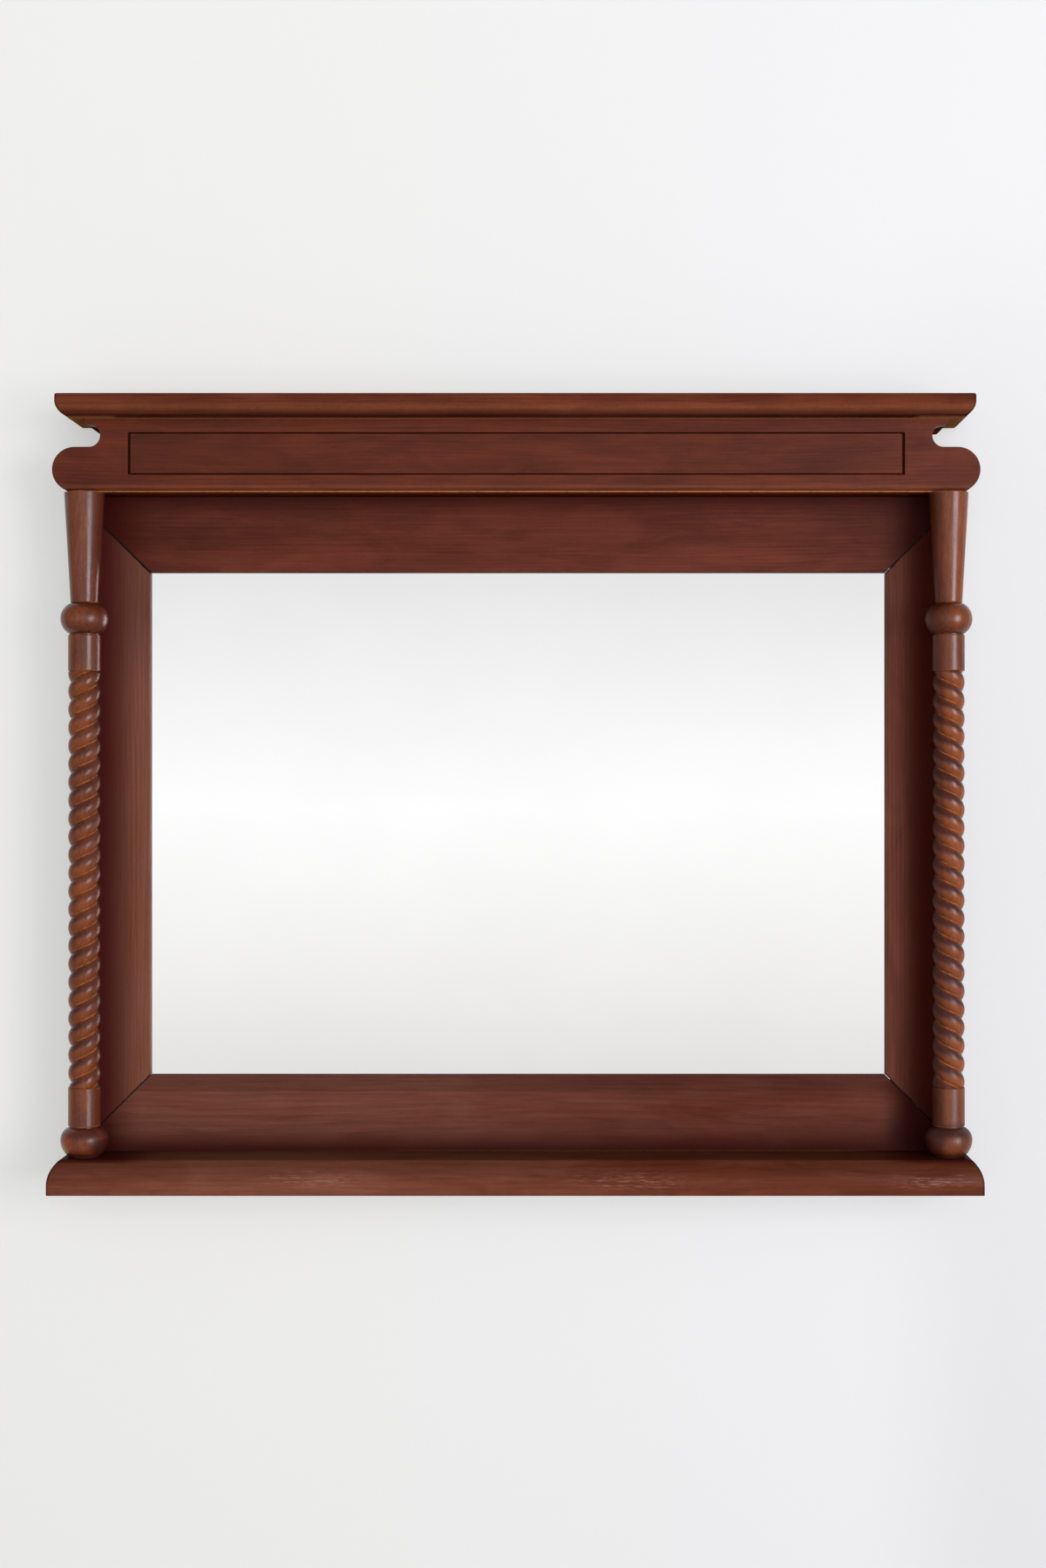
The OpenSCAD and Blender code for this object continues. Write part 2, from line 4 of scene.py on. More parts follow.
import bpy
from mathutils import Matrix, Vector


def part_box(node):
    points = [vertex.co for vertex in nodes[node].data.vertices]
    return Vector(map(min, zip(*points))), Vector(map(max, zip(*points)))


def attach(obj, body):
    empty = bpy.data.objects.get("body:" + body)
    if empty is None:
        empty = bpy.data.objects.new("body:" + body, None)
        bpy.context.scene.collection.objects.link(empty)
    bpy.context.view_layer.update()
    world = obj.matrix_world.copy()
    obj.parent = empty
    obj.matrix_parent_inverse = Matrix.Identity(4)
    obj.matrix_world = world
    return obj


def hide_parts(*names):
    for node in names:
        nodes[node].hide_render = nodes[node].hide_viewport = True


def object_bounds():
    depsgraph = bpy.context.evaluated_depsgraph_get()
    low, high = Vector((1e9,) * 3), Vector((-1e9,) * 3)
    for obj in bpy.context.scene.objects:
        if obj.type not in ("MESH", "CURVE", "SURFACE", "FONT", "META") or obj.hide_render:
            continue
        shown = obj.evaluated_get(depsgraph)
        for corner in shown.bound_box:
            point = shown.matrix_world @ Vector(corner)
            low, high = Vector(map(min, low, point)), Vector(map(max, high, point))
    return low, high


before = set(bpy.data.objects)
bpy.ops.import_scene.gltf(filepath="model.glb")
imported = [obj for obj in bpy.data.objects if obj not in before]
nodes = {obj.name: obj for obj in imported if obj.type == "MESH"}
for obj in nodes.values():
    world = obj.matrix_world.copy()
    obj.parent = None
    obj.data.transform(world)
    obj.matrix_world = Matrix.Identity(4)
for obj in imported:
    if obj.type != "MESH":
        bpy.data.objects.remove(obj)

cad_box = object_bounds()
scene = bpy.context.scene
MM = 0.001


# ---- Sizes of the object ------------------------------------------------------------------

SHELF_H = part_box("shelf")[1].z
HEADER_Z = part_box("frieze_board")[0].z
COLUMN_X = (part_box("column_right")[0].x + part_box("column_right")[1].x) / 2
COLUMN_Y = (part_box("column_right")[0].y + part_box("column_right")[1].y) / 2
COLUMN_H = HEADER_Z - SHELF_H
BALL_R = (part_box("column_right")[1].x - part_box("column_right")[0].x) / 2
SHAFT_R = 19.1 * MM
QUIRK = 1.4 * MM
FOOT_BASE_R = 17.8 * MM
FOOT_BELLY = 20 * MM
FOOT_H = 35 * MM
ROPE_LOW = 82 * MM
ROPE_HIGH = 577 * MM
COLLAR_LOW = 621 * MM
COLLAR_H = 36 * MM
COLLAR_HIGH = COLLAR_LOW + COLLAR_H
NECK_LOW_R = 16.3 * MM
NECK_TOP_R = 23.5 * MM
SPIGOT_R = 5 * MM
ROPE_R = 18.9 * MM
GROOVE = 4.5 * MM
LEAD = 43.2 * MM
STRANDS = 2

# The front of the frame ends between these depths, and its outer sides begin between these distances from the
# middle
FRAME_FRONT = (0.033, 0.040)
FRAME_SIDES = (0.533, 0.535)


# ---- Shader helpers -----------------------------------------------------------------------

class Graph:
    """Short calls that add nodes to one node tree and link them."""

    def __init__(self, tree):
        self.tree = tree

    def add(self, kind, inputs=(), **settings):
        node = self.tree.nodes.new(kind)
        for name, value in settings.items():
            setattr(node, name, value)
        for key, value in dict(inputs).items():
            self.put(node.inputs[key], value)
        return node

    def put(self, target, value):
        if isinstance(value, bpy.types.NodeSocket):
            self.tree.links.new(value, target)
        else:
            target.default_value = value

    def math(self, operation, *values, clamp=False):
        return self.add("ShaderNodeMath", enumerate(values), operation=operation, use_clamp=clamp).outputs[0]

    def mix(self, share, first, second):
        node = self.add("ShaderNodeMix", {0: share, 6: first, 7: second}, data_type="RGBA")
        return node.outputs[2]

    def scaled(self, colour, factor):
        node = self.add("ShaderNodeVectorMath", {0: colour, "Scale": factor}, operation="SCALE")
        return node.outputs[0]

    def step(self, value, low, high, first=0.0, second=1.0):
        """Smooth step of a value from low to high."""
        inputs = {0: value, 1: low, 2: high, 3: first, 4: second}
        return self.add("ShaderNodeMapRange", inputs, interpolation_type="SMOOTHSTEP").outputs[0]

    def bump_at(self, value, middle, reach):
        """One at the middle, falling smoothly to nothing at the reach."""
        away = self.math("ABSOLUTE", self.math("SUBTRACT", value, middle))
        return self.step(away, 0.0, reach, 1.0, 0.0)

    def by_side(self, x, left, right):
        """One value on the left half of the object and another on the right."""
        return self.step(x, -10 * MM, 10 * MM, left, right)

    def vector(self, x, y, z):
        return self.add("ShaderNodeCombineXYZ", {0: x, 1: y, 2: z}).outputs[0]

    def stretch(self, vector, scale):
        return self.add("ShaderNodeVectorMath", {0: vector, 1: scale}, operation="MULTIPLY").outputs[0]

    def noise(self, vector, scale, detail=2.0, roughness=0.5, distortion=0.0):
        """Noise over a vector whose axes are stretched by the scale, in cells per metre."""
        inputs = {"Vector": self.stretch(vector, scale), "Scale": 1.0, "Detail": detail,
                  "Roughness": roughness, "Distortion": distortion}
        return self.add("ShaderNodeTexNoise", inputs).outputs["Fac"]

    def point(self):
        """The point on the object at rest, in metres."""
        return self.add("ShaderNodeTexCoord").outputs["Object"]

    def place(self):
        """The point on the object at rest, as a vector and its three parts."""
        point = self.point()
        parts = self.add("ShaderNodeSeparateXYZ", {0: point}).outputs
        return point, parts[0], parts[1], parts[2]

    def surface(self, shader, height, strength, distance):
        """Gives a shader a fine relief from a height."""
        bump = self.add("ShaderNodeBump", {"Height": height, "Strength": strength, "Distance": distance})
        self.put(shader.inputs["Normal"], bump.outputs[0])


def new_material(name):
    """An empty node material, with its graph and its shader."""
    material = bpy.data.materials.new(name)
    material.use_nodes = True
    material.node_tree.nodes.clear()
    graph = Graph(material.node_tree)
    shader = graph.add("ShaderNodeBsdfPrincipled")
    output = graph.add("ShaderNodeOutputMaterial")
    graph.put(output.inputs["Surface"], shader.outputs[0])
    return material, graph, shader


# ---- Wood ---------------------------------------------------------------------------------

# Each piece's stain runs from its dark to its light tone
STAIN_LIGHT = (0.103, 0.0180, 0.0056, 1)
STAIN_DARK = (0.069, 0.0120, 0.0050, 1)
MATT_LIGHT = (0.103, 0.0258, 0.0130, 1)
MATT_DARK = (0.069, 0.0170, 0.0090, 1)
SHELF_LIGHT = (0.110, 0.0365, 0.0210, 1)
SHELF_DARK = (0.068, 0.0150, 0.0056, 1)
TOP_LIGHT = (0.091, 0.0187, 0.0092, 1)
TOP_DARK = (0.061, 0.0125, 0.0062, 1)
BOTTOM_LIGHT = (0.110, 0.0345, 0.0212, 1)
BOTTOM_DARK = (0.070, 0.0125, 0.0045, 1)
LEFT_LIGHT = (0.136, 0.0442, 0.0276, 1)
LEFT_DARK = (0.124, 0.0392, 0.0130, 1)
RIGHT_LIGHT = (0.128, 0.0365, 0.0220, 1)
RIGHT_DARK = (0.096, 0.0265, 0.0160, 1)
TURNED_LIGHT = (0.205, 0.0500, 0.0120, 1)
TURNED_DARK = (0.050, 0.0085, 0.0042, 1)
# The soffit's tones are the stain made darker: painted shade under the frieze
DEEP_LIGHT = (0.062, 0.0080, 0.0014, 1)
DEEP_DARK = (0.042, 0.0052, 0.0010, 1)

# Painted shade, partly old wax, in corners and beside parts; the glue line of the mitres; painted glints in open
# pores; and wood that is rubbed bare, which some edges also take as a painted highlight and reflection
RECESS = (0.030, 0.0012, 0.0002, 1)
COLUMN_RECESS = (0.036, 0.0040, 0.0016, 1)
LEFT_RECESS = (0.042, 0.0012, 0.0002, 1)
RIGHT_RECESS = (0.045, 0.0035, 0.0008, 1)
SEAM = (0.010, 0.004, 0.003, 1)
PORE_GLINT = (0.27, 0.145, 0.095, 1)
GOLD = (0.42, 0.17, 0.060, 1)

# Cells per metre along, across and into the grain
MOTTLE_CELLS = (9, 30, 30)
SPOT_CELLS = (220, 420, 420)
WANDER_CELLS = (2.2, 9, 9)
STRENGTH_CELLS = (3, 16, 16)
FIBRE_CELLS = (22, 900, 900)
STREAK_CELLS = (7, 260, 260)
PORE_CELLS = (95, 1500, 1500)
OPEN_PORE_CELLS = (75, 1300, 1300)
FLECK_BAND_CELLS = (9, 330, 330)

# Figure: how dark latewood is, how far the rings wander, and how a seed moves a piece through the wood
RING_DARK = 0.16
RING_WANDER = 0.03
SEED_ALONG, SEED_SIDE, SEED_PITH = 3.7, 0.61, 0.004
PORE_DARK = 0.22
FLECK_SHARE = 0.70
WAX_ROUGHER = 0.2


def grain_axes(grain, x, y, z):
    """The coordinates along, across and into wood whose fibres run along x or z."""
    return (x, z, y) if grain == "x" else (z, x, y)


def latewood(g, phase, start, end):
    """Dark latewood of a growth ring: a slow rise and a sharp end."""
    return g.math("MULTIPLY", g.step(phase, start, end), g.step(phase, end, 1.0, 1.0, 0.0))


def stained_wood(name, grain, seed, light=STAIN_LIGHT, dark=STAIN_DARK, roughness=0.44, specular=0.17,
                 ring=0.0045, pith=(0.03, 0.09), spread=0.7, patches=0.0, shade_by=None, level=None,
                 recess=None, wax_and_shade=RECESS, wear=None, flecks=None, seams=None):
    """Stained and varnished mahogany: mottled stain, growth rings cut by the surface, fibres and pores.

    grain is the axis that the fibres run along; pith is where the heart of the tree lies across it, and ring the
    width of a growth ring. The last parameters make masks, from the graph and the three coordinates: shade_by picks
    the tone, which the mottle and fine spots then move by spread and patches, and on some pieces paints sheen and
    shade by place; level scales the colour, on most pieces painting light and shade by place; recess lays its
    colour, painted shade that is partly old wax, in corners and beside parts; wear is for worn edges, and on some
    pieces for painted highlights and reflections; flecks and seams are for painted glints in open pores and dark
    glue lines. roughness is a number or such a mask.
    """
    material, g, shader = new_material(name)
    point, x, y, z = g.place()
    along, side, depth = grain_axes(grain, x, y, z)
    along = g.math("ADD", along, SEED_ALONG * seed)
    wood = g.vector(along, g.math("ADD", side, SEED_SIDE * seed), depth)

    mottle = g.noise(wood, MOTTLE_CELLS, 4, 0.62, 0.5)
    tone = g.step(mottle, 0.30, 0.70)
    # On some pieces the tone picked by place is a painted sheen and shade
    if shade_by:
        tone = g.math("ADD", shade_by(g, x, y, z), g.math("MULTIPLY_ADD", tone, spread, -0.5 * spread))
        spots = g.noise(wood, SPOT_CELLS, 4, 0.70, 0.6)
        tone = g.math("ADD", tone, g.math("MULTIPLY_ADD", spots, patches, -0.5 * patches), clamp=True)
    colour = g.mix(tone, dark, light)

    wander = g.noise(wood, WANDER_CELLS, 3, 0.6)
    from_pith = g.math("POWER", g.math("ADD",
                       g.math("POWER", g.math("SUBTRACT", side, pith[0] + SEED_PITH * seed), 2.0),
                       g.math("POWER", g.math("SUBTRACT", depth, pith[1]), 2.0)), 0.5)
    from_pith = g.math("ADD", from_pith, g.math("MULTIPLY", wander, RING_WANDER))
    late = latewood(g, g.math("FRACT", g.math("DIVIDE", from_pith, ring)), 0.35, 0.93)
    strength = g.step(g.noise(wood, STRENGTH_CELLS, 2), 0.3, 0.7, 0.25, 1.0)
    late = g.math("MULTIPLY", late, strength)

    fibre = g.noise(wood, FIBRE_CELLS, 2, 0.6)
    streak = g.noise(wood, STREAK_CELLS, 3, 0.6)
    pore = g.step(g.noise(wood, PORE_CELLS, 1, 0.4), 0.67, 0.74)
    shade = g.math("MULTIPLY", g.math("MULTIPLY_ADD", late, -RING_DARK, 1.0), g.step(fibre, 0.2, 0.8, 0.90, 1.10))
    shade = g.math("MULTIPLY", shade, g.step(streak, 0.25, 0.75, 0.88, 1.12))
    shade = g.math("MULTIPLY", shade, g.math("MULTIPLY_ADD", pore, -PORE_DARK, 1.0))
    # Level masks paint light and shade by place
    if level:
        shade = g.math("MULTIPLY", shade, level(g, x, y, z))
    colour = g.scaled(colour, shade)
    if callable(roughness):
        roughness = roughness(g, x, y, z)
    # Painted shade, partly old wax, in corners and beside parts
    if recess:
        corner = recess(g, x, y, z)
        colour = g.mix(corner, colour, wax_and_shade)
        roughness = g.math("MULTIPLY_ADD", corner, WAX_ROUGHER, roughness)
    # Painted glints in open pores
    if flecks:
        open_pore = g.step(g.noise(wood, OPEN_PORE_CELLS, 2, 0.6), 0.48, 0.62)
        bands = g.step(g.noise(wood, FLECK_BAND_CELLS, 2, 0.6, 0.4), 0.42, 0.58)
        mask = g.math("MULTIPLY", flecks(g, x, y, z), g.math("MULTIPLY", open_pore, bands))
        colour = g.mix(g.math("MULTIPLY", mask, FLECK_SHARE), colour, PORE_GLINT)
    if seams:
        colour = g.mix(seams(g, x, y, z), colour, SEAM)
    # Worn edges, and on some pieces painted highlights and reflections
    if wear:
        broken = g.step(g.noise(point, (190, 190, 190), 3, 0.6), 0.30, 0.55, 0.60, 1.0)
        colour = g.mix(g.math("MULTIPLY", wear(g, x, y, z), broken), colour, GOLD)
    g.put(shader.inputs["Base Color"], colour)

    rub = g.noise(point, (9, 9, 9), 3, 0.6)
    gloss = g.math("ADD", g.step(rub, 0.3, 0.7, -0.05, 0.06), g.math("MULTIPLY", fibre, 0.06))
    g.put(shader.inputs["Roughness"], g.math("ADD", roughness, gloss))
    shader.inputs["Specular IOR Level"].default_value = specular
    height = g.math("ADD", g.math("MULTIPLY", fibre, 0.5), g.math("MULTIPLY", pore, -0.8))
    height = g.math("ADD", height, g.math("MULTIPLY", rub, 1.2))
    g.surface(shader, height, 0.35, 0.25 * MM)
    return material


# ---- Masks: where the finish of each piece changes, and where light and shade are painted ---

def dark_ends(g, x, y, half, level):
    """A level that falls to a dark line along the mitred ends of a moulding, which stands the half width from the
    middle."""
    front = cad_box[0].y
    to_end = g.math("SUBTRACT", half + front, g.math("ADD", y, g.math("ABSOLUTE", x)))
    away = g.math("ABSOLUTE", g.math("ADD", to_end, 1 * MM))
    line = g.step(away, 1.5 * MM, 4.5 * MM, 0.55, 0.0)
    line = g.math("MULTIPLY", line, g.step(y, front + 14 * MM, front + 30 * MM, 1.0, 0.0))
    return g.math("MULTIPLY", level, g.math("SUBTRACT", 1.0, line))


def shelf_level(g, x, y, z):
    """The shelf is lighter towards its lower edge and a little darker at the right: painted light and shade."""
    level = g.math("MULTIPLY", g.step(z, 12 * MM, 36 * MM, 1.45, 1.0), g.step(x, 0.2, 0.5, 1.0, 0.88))
    return dark_ends(g, x, y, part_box("shelf")[1].x, level)


def shelf_shade(g, x, y, z):
    """The shelf is lighter and greyer left of its middle: a painted sheen."""
    middle, reach = -0.30, 0.24
    return g.math("ADD", g.step(x, -0.05, 0.25, 0.45, 0.12), g.math("MULTIPLY", g.bump_at(x, middle, reach), 0.5))


def shelf_recess(g, x, y, z):
    """Painted shade on the top of the shelf round the feet of the columns."""
    beside = g.step(g.math("ABSOLUTE", x), 0.42, 0.48, 0.0, 0.85)
    return g.math("MULTIPLY", beside, g.step(z, SHELF_H - 5 * MM, SHELF_H - 1 * MM))


def shelf_flecks(g, x, y, z):
    """Three places along the shelf's front where cathedral figure opens its pores, which show painted glints."""
    found = None
    for middle, reach in ((-0.24, 0.085), (0.13, 0.095), (0.49, 0.07)):
        here = g.bump_at(x, middle, reach)
        found = here if found is None else g.math("MAXIMUM", found, here)
    return g.math("MULTIPLY", found, g.bump_at(z, 18 * MM, 16 * MM))


def frame_recess(right, left=None):
    """Painted shade, partly old wax, beside the columns, under the header and along the shelf. Each side's pair are
    the distances from the middle where it starts and where it is full; left is as right where it isn't given."""
    def recess(g, x, y, z):
        clean = g.math("MULTIPLY", g.step(x, *right, 1.0, 0.0),
                       g.step(g.math("MULTIPLY", x, -1.0), *(left or right), 1.0, 0.0))
        clean = g.math("MULTIPLY", clean, g.step(z, HEADER_Z - 28 * MM, HEADER_Z, 1.0, 0.3))
        clean = g.math("MULTIPLY", clean, g.step(z, SHELF_H, SHELF_H + 32 * MM, 0.08, 1.0))
        front = g.math("MULTIPLY", g.step(y, *FRAME_FRONT, 1.0, 0.0),
                       g.step(g.math("ABSOLUTE", x), *FRAME_SIDES, 1.0, 0.0))
        return g.math("MULTIPLY", g.math("SUBTRACT", 1.0, clean), front)
    return recess


def rail_wear(g, x, y, z):
    """The lower arris of the bottom rail, faintly rubbed towards the right."""
    arris = g.step(z, SHELF_H + 0.6 * MM, SHELF_H + 1.6 * MM, 0.22, 0.0)
    line = g.math("MULTIPLY", arris, g.step(x, -0.45, 0.1, 0.2, 1.0))
    return g.math("MULTIPLY", line, g.step(x, 0.38, 0.44, 1.0, 0.0))


def bottom_level(g, x, y, z):
    """Painted light and shade: the bottom rail is lightest along its slope, darker along the glass and dark in its
    two lower corners.
    """
    middle, reach = 0.095, 0.028
    level = g.math("MULTIPLY_ADD", g.bump_at(z, middle, reach), 0.18, 1.0)
    level = g.math("MULTIPLY", level, g.step(z, 0.1095, 0.1110, 1.0, 0.82))
    right = g.math("MULTIPLY", g.step(x, 0.436, 0.468),
                   g.step(z, SHELF_H + 10 * MM, SHELF_H + 55 * MM, 1.0, 0.0))
    left = g.math("MULTIPLY", g.step(x, -0.505, -0.468, 1.0, 0.0),
                  g.step(z, SHELF_H + 6 * MM, SHELF_H + 40 * MM, 0.8, 0.0))
    corner = g.math("MAXIMUM", left, right)
    corner = g.math("MULTIPLY", corner, g.step(y, *FRAME_FRONT, 1.0, 0.0))
    return g.math("MULTIPLY", level, g.math("SUBTRACT", 1.0, corner))


def bottom_shade(g, x, y, z):
    """The bottom rail is lighter and greyer at the left: a painted sheen."""
    return g.step(x, -0.15, 0.20, 0.90, 0.20)


def top_level(g, x, y, z):
    """Painted light and shade: the top rail darkens towards its ends and is lighter along the glass."""
    level = g.step(g.math("ABSOLUTE", x), 0.30, 0.44, 1.0, 0.78)
    return g.math("MULTIPLY", level, g.step(z, 0.755, 0.778, 1.22, 1.0))


def left_shade(g, x, y, z):
    """Painted shade and sheen: the left stile is darker and more orange towards the column, and greyer towards
    the glass.
    """
    return g.step(x, -0.482, -0.459, 0.25, 0.80)


def left_level(g, x, y, z):
    """Painted shade and sheen: the left stile darkens towards its top, and its inner edge is a little lighter."""
    upper = g.step(z, 0.58, 0.70, 1.0, 0.70)
    return g.math("MULTIPLY", upper, g.step(x, -0.4675, -0.4660, 0.96, 1.04))


def right_level(g, x, y, z):
    """Painted shade: the right stile darkens a little towards its top."""
    return g.step(z, 0.60, 0.72, 1.0, 0.90)


def mitre_seams(g, x, y, z):
    """Dark glue line along the mitres, of uneven width and finer at the lower left."""
    low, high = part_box("mirror_glass")
    away_x = g.math("SUBTRACT", g.math("ABSOLUTE", x), high.x - (low.x + high.x) / 2)
    from_middle = g.math("ABSOLUTE", g.math("SUBTRACT", z, (low.z + high.z) / 2))
    away_z = g.math("SUBTRACT", from_middle, (high.z - low.z) / 2)
    away = g.math("ABSOLUTE", g.math("SUBTRACT", away_x, away_z))
    width = g.step(g.noise(g.vector(x, 0.0, z), (160, 1, 160), 3, 0.6), 0.3, 0.7, 1.5 * MM, 3.4 * MM)
    tight = g.math("MULTIPLY", g.step(x, -0.1, 0.1, 0.4, 0.0), g.step(z, 0.3, 0.5, 1.0, 0.0))
    width = g.math("MULTIPLY", width, g.math("SUBTRACT", 1.0, tight))
    return g.step(g.math("DIVIDE", away, width), 0.55, 1.0, 0.92, 0.0)


def frieze_wear_and_highlight(g, x, y, z):
    """The rounded lower edge of the frieze board, rubbed through to light wood, with a faint painted highlight above
    it, and a painted highlight along its upper edge.
    """
    board_low, board_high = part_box("frieze_board")
    rubbed = g.step(z, HEADER_Z + 0.9 * MM, HEADER_Z + 1.5 * MM, 1.0, 0.0)
    # A faint painted highlight on the rounding above the rubbed edge
    rounding_highlight = g.math("MULTIPLY", g.bump_at(z, HEADER_Z + 6.4 * MM, 3.4 * MM), 0.08)
    rubbed = g.math("MAXIMUM", rubbed, rounding_highlight)
    # A painted highlight along the upper edge, which lies in the cornice's shade
    upper = g.step(z, board_high.z - 2.0 * MM, board_high.z - 1.0 * MM, 0.0, 0.30)
    rubbed = g.math("MAXIMUM", rubbed, upper)
    return g.math("MULTIPLY", rubbed, g.step(y, board_low.y + 4.6 * MM, board_low.y + 5.2 * MM, 1.0, 0.0))


def frieze_level(g, x, y, z):
    """The frieze board is a little darker at its left end."""
    return g.step(x, -0.45, -0.25, 0.95, 1.0)


def panel_level(g, x, y, z):
    """The frieze panel is darker than the board, most at its left end."""
    return g.step(x, -0.42, -0.25, 0.74, 0.92)


def block_recess(g, x, y, z):
    """Painted shade on the underside of the header's blocks."""
    return g.step(z, HEADER_Z + 0.5 * MM, HEADER_Z + 1.5 * MM, 0.9, 0.0)


def cornice_level(g, x, y, z):
    """Painted light and shade: the cornice is darkest at its lower edge, lightest on its nose, and darker towards
    the right.
    """
    nose, reach = 0.9290, 0.0075
    level = g.math("MULTIPLY_ADD", g.bump_at(z, nose, reach), 0.16, g.step(z, 0.917, 0.923, 0.84, 1.06))
    level = g.math("MULTIPLY", level, g.step(x, 0.1, 0.5, 1.0, 0.80))
    return dark_ends(g, x, y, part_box("cornice")[1].x, level)


def cornice_painted_light(g, x, y, z):
    """A painted highlight on the nose of the cornice, and a painted reflection on the underside of its ends."""
    low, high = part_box("cornice")
    nose = g.math("MULTIPLY", g.bump_at(z, low.z + 7.5 * MM, 6.5 * MM), 0.10)
    under = g.step(z, low.z + 0.2 * MM, low.z + 0.5 * MM, 0.55, 0.0)
    under = g.math("MULTIPLY", under, g.step(y, low.y + 12 * MM, low.y + 30 * MM))
    ends = g.step(g.math("ABSOLUTE", x), high.x - 72 * MM, high.x - 60 * MM, 0.0, 1.0)
    under = g.math("MULTIPLY", under, ends)
    return g.math("MAXIMUM", nose, under)


def column_recess(g, x, y, z):
    """Painted shade on the side of each column that faces the mirror, under the ball and in the quirk over it."""
    inward = g.math("SUBTRACT", COLUMN_X, g.math("ABSOLUTE", x))
    side = g.step(inward, 3 * MM, 21 * MM, 0.0, 0.55)
    foot = g.step(z, SHELF_H + 1 * MM, SHELF_H + 9 * MM, 0.95, 0.0)
    quirk = g.math("MULTIPLY", g.bump_at(z, SHELF_H + FOOT_H, 11 * MM), g.by_side(x, 0.15, 0.80))
    contact = g.math("SUBTRACT", inward, g.by_side(x, 8 * MM, 15 * MM))
    contact = g.math("MULTIPLY", g.step(contact, 0.0, 11 * MM, 0.0, 0.95),
                     g.step(z, SHELF_H + 20 * MM, SHELF_H + 27 * MM, 1.0, 0.0))
    return g.math("MAXIMUM", g.math("MAXIMUM", side, contact), g.math("MAXIMUM", foot, quirk))


def column_level(g, x, y, z):
    """The outward side of the left column is lighter, above all at its plain shafts: painted light. Both columns are
    darker round the upper end of the rope, and the foot balls differ."""
    upper_shaft, dull, dull_reach = SHELF_H + 602 * MM, 0.62, 0.08
    outward = g.step(x, -COLUMN_X - 15 * MM, -COLUMN_X - 1 * MM, 1.0, 0.0)
    by_height = g.math("MAXIMUM", g.step(z, SHELF_H + ROPE_LOW, SHELF_H + ROPE_LOW + 10 * MM, 0.68, 0.14),
                       g.step(g.math("ABSOLUTE", g.math("SUBTRACT", z, upper_shaft)), 22 * MM, 26 * MM, 0.55, 0.0))
    level = g.math("MULTIPLY_ADD", outward, by_height, 1.0)
    level = g.math("MULTIPLY", level, g.math("MULTIPLY_ADD", g.bump_at(z, dull, dull_reach), -0.18, 1.0))
    ball = g.step(z, SHELF_H + FOOT_H - 1 * MM, SHELF_H + FOOT_H + 1 * MM, 1.0, 0.0)
    return g.math("MULTIPLY", level, g.math("MULTIPLY_ADD", ball, g.by_side(x, 0.38, -0.08), 1.0))


def column_roughness(g, x, y, z):
    """Both columns are polished, but their lower halves, above all the right one's, are worn to a wax sheen."""
    return g.step(z, 0.20, 0.55, g.by_side(x, 0.27, 0.35), 0.25)


def attribute_wear(g, x, y, z):
    """The worn lines of the columns, broken up and fainter towards the outward side."""
    worn = g.add("ShaderNodeAttribute", attribute_name="wear").outputs["Fac"]
    rubbed = g.step(g.noise(g.vector(x, y, z), (120, 120, 120), 2, 0.6), 0.35, 0.60, 0.35, 1.0)
    outward = g.math("SUBTRACT", g.math("ABSOLUTE", x), COLUMN_X)
    rubbed = g.math("MULTIPLY", rubbed, g.step(outward, 5 * MM, 15 * MM, 1.0, 0.35))
    return g.math("MULTIPLY", worn, rubbed)


def attribute_shade(g, x, y, z):
    """The stain and painted shade that each row of a column's vertices carries."""
    return g.add("ShaderNodeAttribute", attribute_name="stain_and_shade").outputs["Fac"]


# ---- Other materials ----------------------------------------------------------------------

PINE_RING = 0.0052


def pine(name, grain, seed):
    """Bare planed softwood with reddish latewood lines."""
    material, g, shader = new_material(name)
    _, x, y, z = g.place()
    along, side, depth = grain_axes(grain, x, y, z)
    wood = g.vector(g.math("ADD", along, 2.3 * seed), side, depth)
    wander = g.noise(wood, (3, 12, 12), 3, 0.6)
    lines = g.math("ADD", side, g.math("MULTIPLY", wander, RING_WANDER))
    late = latewood(g, g.math("FRACT", g.math("DIVIDE", lines, PINE_RING)), 0.25, 0.9)
    fibre = g.noise(wood, (25, 800, 800), 2, 0.6)
    colour = g.mix(late, (0.62, 0.40, 0.19, 1), (0.44, 0.22, 0.08, 1))
    colour = g.scaled(colour, g.step(fibre, 0.2, 0.8, 0.86, 1.08))
    g.put(shader.inputs["Base Color"], colour)
    g.put(shader.inputs["Roughness"], g.step(fibre, 0.2, 0.8, 0.55, 0.72))
    g.surface(shader, fibre, 0.4, 0.3 * MM)
    return material


def fibre_board(name):
    """Hardboard: pressed brown fibres with darker specks."""
    material, g, shader = new_material(name)
    point = g.point()
    weave = g.noise(point, (420, 420, 420), 4, 0.7)
    cloud = g.noise(point, (8, 8, 8), 3, 0.6)
    speck = g.step(g.noise(point, (900, 300, 900), 1), 0.66, 0.74)
    colour = g.mix(g.step(cloud, 0.3, 0.7), (0.20, 0.105, 0.052, 1), (0.27, 0.15, 0.078, 1))
    colour = g.scaled(colour, g.step(weave, 0.3, 0.7, 0.8, 1.15))
    colour = g.mix(g.math("MULTIPLY", speck, 0.5), colour, (0.07, 0.035, 0.02, 1))
    g.put(shader.inputs["Base Color"], colour)
    g.put(shader.inputs["Roughness"], g.step(weave, 0.3, 0.7, 0.6, 0.8))
    g.surface(shader, weave, 0.5, 0.4 * MM)
    return material


